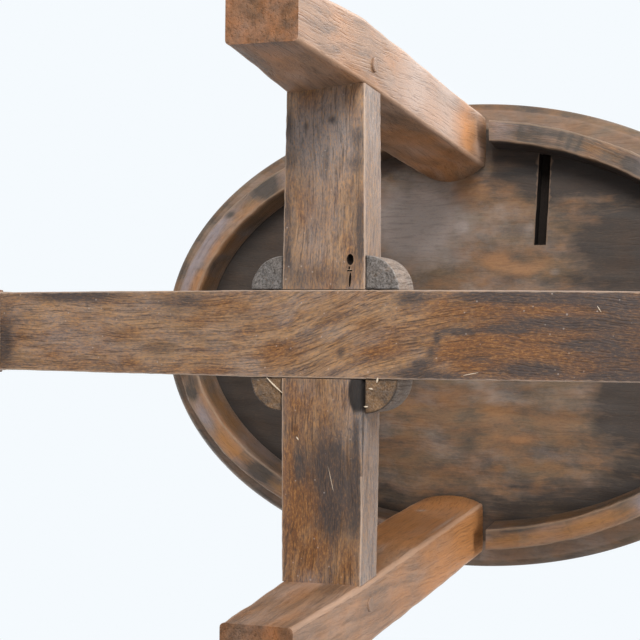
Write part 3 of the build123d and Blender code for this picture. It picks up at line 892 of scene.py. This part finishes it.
def prism_mesh(prisms):
    """One mesh of several upright prisms. Each is the centre of its lower face, its half sizes along X and
    Y, its height, how far its top moves along X and Y, how its top grows, its number of corners, 4 for a
    box, and how far its end towards -Y is skewed along X."""
    points, faces = [], []
    for (x, y, z), half, height, move, growth, sides, skew in prisms:
        turn = np.arange(sides) * 2 * np.pi / sides + np.pi / sides
        to_side = np.cos(np.pi / sides) if sides == 4 else 1
        outline = np.stack([np.cos(turn), np.sin(turn)], -1) / to_side * half
        outline[:, 0] -= skew * outline[:, 1] / half[1]
        top = outline * growth + (x + move[0], y + move[1])
        first = sum(len(ring) for ring in points)
        low = np.arange(sides) + first
        after = np.roll(low, -1)
        points.append(np.column_stack([outline + (x, y), np.full(sides, z)]))
        points.append(np.column_stack([top, np.full(sides, z + height)]))
        faces += [low[::-1].tolist(), (low + sides).tolist()]
        faces += np.stack([low, after, after + sides, low + sides], -1).tolist()
    mesh = bpy.data.meshes.new("cutters")
    mesh.from_pydata(np.concatenate(points).tolist(), [], faces)
    mesh.materials.append(hole_shade_wood)
    return mesh


def cut(piece, prisms):
    """Cuts prisms out of a piece and keeps the result as its mesh."""
    cutter = put("cutters", prism_mesh(prisms))
    modifier = piece.modifiers.new("cut", "BOOLEAN")
    modifier.operation = "DIFFERENCE"
    modifier.solver = "EXACT"
    modifier.material_mode = "TRANSFER"
    modifier.object = cutter
    bpy.context.view_layer.update()
    result = bpy.data.meshes.new_from_object(piece.evaluated_get(bpy.context.evaluated_depsgraph_get()))
    piece.modifiers.clear()
    old = piece.data
    piece.data = result
    bpy.data.objects.remove(cutter)
    bpy.data.meshes.remove(old)


def seat_cutters():
    """The groove under the seat and the mortise for each leg's tenon."""
    clearance = 0.00035
    passes = 0.006
    bottom = board_underside - passes
    length = groove_outer_end - groove_inner_end
    prisms = [((groove_offset, -groove_inner_end - length / 2, bottom), (groove_width / 2, length / 2),
               groove_depth + passes, (0, 0), 1, 4, groove_skew)]
    for (dx, dy), reach, *_ in legs.values():
        height = board_thickness + saddle_rise + 2 * passes
        middle = inner_face(reach, bottom) + leg_thickness / 2
        half = (tenon_thickness / 2 + clearance, tenon_half_width + clearance)
        lean = height * splay_slope
        prisms.append(((cross_x + dx * middle, dy * middle, bottom), half if dx else half[::-1], height,
                       (-dx * lean, -dy * lean), 1, 4, 0))
    return prisms


def short_bar_cutters():
    """A worm hole and the crack that runs on from it, in the short stretcher's underside."""
    bottom = bar_low - 0.001
    hole_x = cross_x + 0.0150
    return [
        ((hole_x, -0.0395, bottom), (0.0020, 0.0031), 0.006, (0.0002, 0), 0.8, 14, 0),
        ((hole_x - 0.0005, -0.0350, bottom), (0.0005, 0.0009), 0.003, (0, 0), 0.8, 4, 0),
        ((hole_x - 0.0002, -0.0336, bottom), (0.0016, 0.0004), 0.003, (0, 0), 0.8, 4, 0),
        ((hole_x, -0.0288, bottom), (0.0007, 0.0042), 0.005, (0, 0), 0.8, 8, 0.0003),
    ]


for name in legs:
    points, layers = make_leg(name)
    skin(f"worn_leg_{name}", points, f"leg_{name}", leg_wood, layers)
for name, (side_x, side_y) in corners.items():
    points, layers = make_apron(name, side_x, side_y, 60 + 7 * side_x + 3 * side_y)
    skin(f"cut_apron_{name}", points, f"apron_{name}", apron_wood, layers)
    points, layers = make_block(side_x, side_y, 90 + 7 * side_x + 3 * side_y)
    skin(f"corner_block_{name}", points, f"boss_block_{name}", block_wood, layers)
points, layers = make_bar("right", "left", True, 20, long_stains_and_shade, long_oil_and_shade, long_dust_and_sheen)
skin("worn_stretcher_long", points, "stretcher_long", bar_wood, layers)
points, layers = make_bar("back", "front", False, 30, short_stains, short_oil, short_dust_and_light)
short_bar = skin("worn_stretcher_short", points, "stretcher_short", bar_wood, layers)
cut(short_bar, short_bar_cutters())
points, layers = make_seat()
seat = skin("saddle_seat", points, "seat_board", seat_wood, layers)
cut(seat, seat_cutters())

for number, (x, y, end_x, end_y, depth, radius) in enumerate(splinters):
    start, end = np.array([[x, y, 0], [end_x, end_y, 0]]) / 1000 + (0, 0, bar_low + depth / 1000)
    thin_rod(f"pale_splinter_{number}", start, end, radius / 1000)

for name in legs:
    for node in (f"leg_wedge_{name}", f"stretcher_peg_{name}"):
        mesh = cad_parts[node].data
        mesh.materials.clear()
        mesh.materials.append(peg_wood)


# The photograph's view, worked out from the width of the stretchers in it
bar_width_px = 88.5
picture_px = 640
focal_px = 1578.0
tilt = math.radians(20.6)
roll = 0.009
pitch = 0.0070
cross_right_px = 3.0
cross_up_px = -14.0
metres_per_px = 2 * bar_half_width / bar_width_px
distance = focal_px * metres_per_px
right = Vector((math.cos(tilt), 0, math.sin(tilt)))
back = Vector((math.sin(tilt) * math.cos(pitch), math.sin(pitch), -math.cos(tilt) * math.cos(pitch)))
up = back.cross(right)
camera_data = bpy.data.cameras.new("camera")
camera_data.sensor_width = 36
camera_data.lens = focal_px / picture_px * camera_data.sensor_width
camera_data.clip_start = 0.01
camera = put("camera", camera_data)
turned = Matrix((right, up, back)).transposed() @ Matrix.Rotation(roll, 3, "Z")
crossing = Vector((cross_x, 0, bar_low))
eye = crossing + back * distance - (right * cross_right_px + up * cross_up_px) * metres_per_px
camera.matrix_world = Matrix.Translation(eye) @ turned.to_4x4()
bpy.context.scene.camera = camera


def soft_lamp(name, place, target, size, power):
    """A square soft lamp at a place, turned towards a target, and itself out of sight."""
    data = bpy.data.lights.new(name, "AREA")
    data.size = size
    data.energy = power
    lamp = put(name, data)
    turn = (Vector(place) - Vector(target)).to_track_quat("Z", "Y").to_matrix().to_4x4()
    lamp.matrix_world = Matrix.Translation(place) @ turn
    lamp.visible_camera = False


hollow = (0, 0, 0.25)
soft_lamp("window_below", (0.40, -1.00, -1.22), hollow, 0.55, 27)
soft_lamp("side_light", (1.7, -0.2, 0.05), hollow, 0.8, 22)
soft_lamp("key_above", (1.0, -1.2, 1.6), hollow, 1.2, 34)
soft_lamp("fill_above", (-1.3, 0.9, 1.3), hollow, 1.2, 16)

# The sky is dim as a light, and bright where the camera or a reflection meets it
world = bpy.data.worlds.new("pale_studio")
bpy.context.scene.world = world
world.use_nodes = True
sky = world.node_tree
sky_light = sky.nodes["Background"]
sky_light.inputs["Color"].default_value = linear("#F4F7FC")
sky_light.inputs["Strength"].default_value = 0.31
seen = add(sky, "ShaderNodeBackground", {"Color": linear("#F5FAFE"), "Strength": 1.0})
rays = add(sky, "ShaderNodeLightPath")
shown = 0
for kind in ("Is Camera Ray", "Is Transmission Ray", "Is Glossy Ray"):
    shown = add(sky, "ShaderNodeMath", {0: rays.outputs[kind], 1: shown}, operation="MAXIMUM")
chosen = add(sky, "ShaderNodeMixShader", {0: shown, 1: sky_light, 2: seen})
sky.links.new(chosen.outputs[0], sky.nodes["World Output"].inputs["Surface"])

# Pale studio floor, matt: solid from above, and clear from below so that the stool is seen through it
floor_material, floor_tree, floor_shader = new_material("matt_pale_floor")
floor_shader.inputs["Base Color"].default_value = linear("#EEF1F4")
floor_shader.inputs["Roughness"].default_value = 0.9
floor_side = add(floor_tree, "ShaderNodeNewGeometry")
floor_rays = add(floor_tree, "ShaderNodeLightPath")
clear = add(floor_tree, "ShaderNodeMath",
            {0: floor_side.outputs["Backfacing"], 1: floor_rays.outputs["Is Shadow Ray"]},
            operation="MAXIMUM")
clear_shader = add(floor_tree, "ShaderNodeBsdfTransparent")
floor_mix = add(floor_tree, "ShaderNodeMixShader", {0: clear, 1: floor_shader, 2: clear_shader})
floor_tree.links.new(floor_mix.outputs[0], floor_tree.nodes["Material Output"].inputs["Surface"])
floor_half = 3.0
floor_corners = [(x * floor_half, y * floor_half, 0) for x, y in ((-1, -1), (1, -1), (1, 1), (-1, 1))]
floor_mesh = bpy.data.meshes.new("floor")
floor_mesh.from_pydata(floor_corners, [], [(0, 1, 2, 3)])
floor_mesh.materials.append(floor_material)
floor = put("floor", floor_mesh)

bpy.context.scene.view_settings.view_transform = "Standard"
